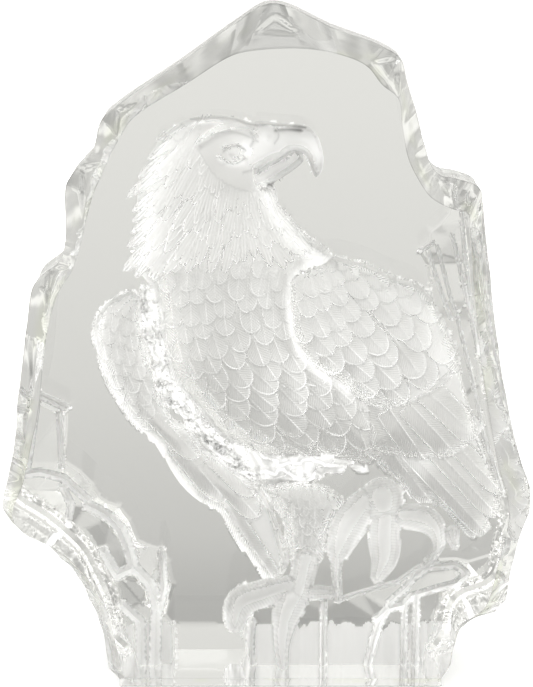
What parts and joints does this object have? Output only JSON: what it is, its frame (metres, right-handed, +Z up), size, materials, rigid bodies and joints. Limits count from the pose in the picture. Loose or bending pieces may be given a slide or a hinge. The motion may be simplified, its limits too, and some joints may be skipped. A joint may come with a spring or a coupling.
{
  "type": "crystal eagle block",
  "caption": "Clear crystal block with a leaning polished front, a hewn rim and an eagle perched on rocks, pressed into its back and frosted, standing on its flat underside.",
  "frame": {"origin": "Middle of the underside, centred on the block's width and depth.", "axes": "+Z up. The polished front faces -Y and leans back. +X is to the right as seen from the front, the way the eagle's beak points."},
  "size_m": [0.1332, 0.0441, 0.17],
  "materials": {
    "lead_crystal": "clear lead crystal, polished front and underside, fire-polished hewn rim, eagle frosted, rocks clear"
  },
  "bodies": {
    "root": {"crystal_eagle_block": "lead_crystal"}
  },
  "joints": []
}
